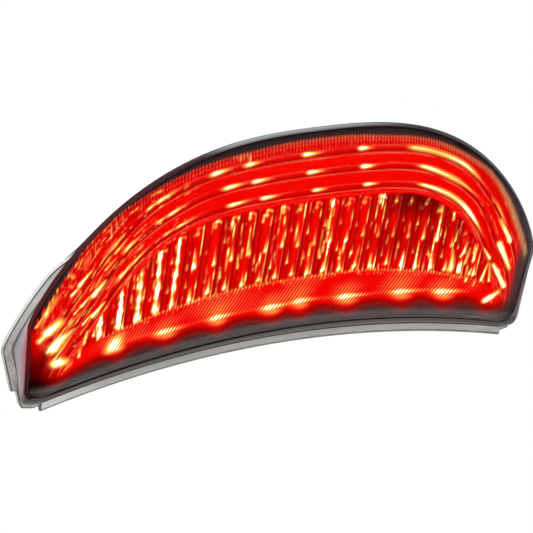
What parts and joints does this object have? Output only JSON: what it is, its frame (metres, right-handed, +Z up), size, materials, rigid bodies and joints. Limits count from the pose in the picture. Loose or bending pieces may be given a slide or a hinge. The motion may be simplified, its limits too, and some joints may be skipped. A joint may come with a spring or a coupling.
{
  "type": "motorcycle tail light",
  "caption": "Half-moon LED tail light with a smoked lens over a fluted red optic, a clear perimeter lip, a rear housing and a wired plug.",
  "frame": {"origin": "on the flat land of the centre mount pad, 8.5 mm straight above the middle of its bore", "axes": "+X across the light to its own right as seen from in front of the lens, +Y towards the vehicle, +Z up; the lens faces -Y"},
  "size_m": [0.2102, 0.1373, 0.0938],
  "materials": {
    "smoked_lens": "clear moulding, smoked face",
    "red_optic": "transparent red, fluted",
    "mirror_tray": "vacuum metallised",
    "black_housing": "fine grain",
    "black_rubber": "matt",
    "circuit_board": "solder mask",
    "diode": "lit",
    "screw_steel": "pan head",
    "zinc_steel": "zinc plated",
    "moulded_package": "moulded",
    "vent_plastic": "moulded",
    "sleeve_plastic": "pvc sleeve",
    "wire_black": "insulation",
    "wire_red": "insulation",
    "wire_yellow": "insulation",
    "terminal_brass": "tinned brass",
    "connector_plastic": "natural nylon",
    "latch_plastic": "natural nylon",
    "retainer_plastic": "dyed nylon"
  },
  "bodies": {
    "light": {"board_screw_lower_left": "screw_steel", "board_screw_lower_right": "screw_steel", "board_screw_upper_left": "screw_steel", "board_screw_upper_right": "screw_steel", "connector_body": "connector_plastic", "harness_grommet": "black_rubber", "harness_sleeve": "sleeve_plastic", "housing": "black_housing", "led_board_lower": "circuit_board", "led_board_upper": "circuit_board", "led_lower_01": "diode", "led_lower_02": "diode", "led_lower_03": "diode", "led_lower_04": "diode", "led_lower_05": "diode", "led_lower_06": "diode", "led_lower_07": "diode", "led_lower_08": "diode", "led_lower_09": "diode", "led_lower_10": "diode", "led_upper_01": "diode", "led_upper_02": "diode", "led_upper_03": "diode", "led_upper_04": "diode", "led_upper_05": "diode", "led_upper_06": "diode", "led_upper_07": "diode", "led_upper_08": "diode", "lens_seal": "black_rubber", "mount_collar_centre": "zinc_steel", "mount_collar_left": "zinc_steel", "mount_collar_right": "zinc_steel", "mount_grommet_centre": "black_rubber", "mount_grommet_left": "black_rubber", "mount_grommet_right": "black_rubber", "optic_lens": "red_optic", "outer_lens": "smoked_lens", "reflector": "mirror_tray", "resistor_pack": "moulded_package", "terminal_brake": "terminal_brass", "terminal_ground": "terminal_brass", "terminal_running": "terminal_brass", "vent_cap": "vent_plastic", "wire_brake": "wire_yellow", "wire_ground": "wire_black", "wire_running": "wire_red"},
    "latch": {"connector_latch": "latch_plastic"},
    "retainer": {"connector_retainer": "retainer_plastic"}
  },
  "joints": [
    {"name": "latch_rock", "type": "hinge", "parent": "light", "child": "latch", "pos_m": [0.022, 0.051, -0.0101], "axis": [1, 0, 0], "range_deg": [0, 6]},
    {"name": "retainer_slide", "type": "slide", "parent": "light", "child": "retainer", "axis": [1, 0, 0], "range_m": [0, 0.0018]}
  ]
}
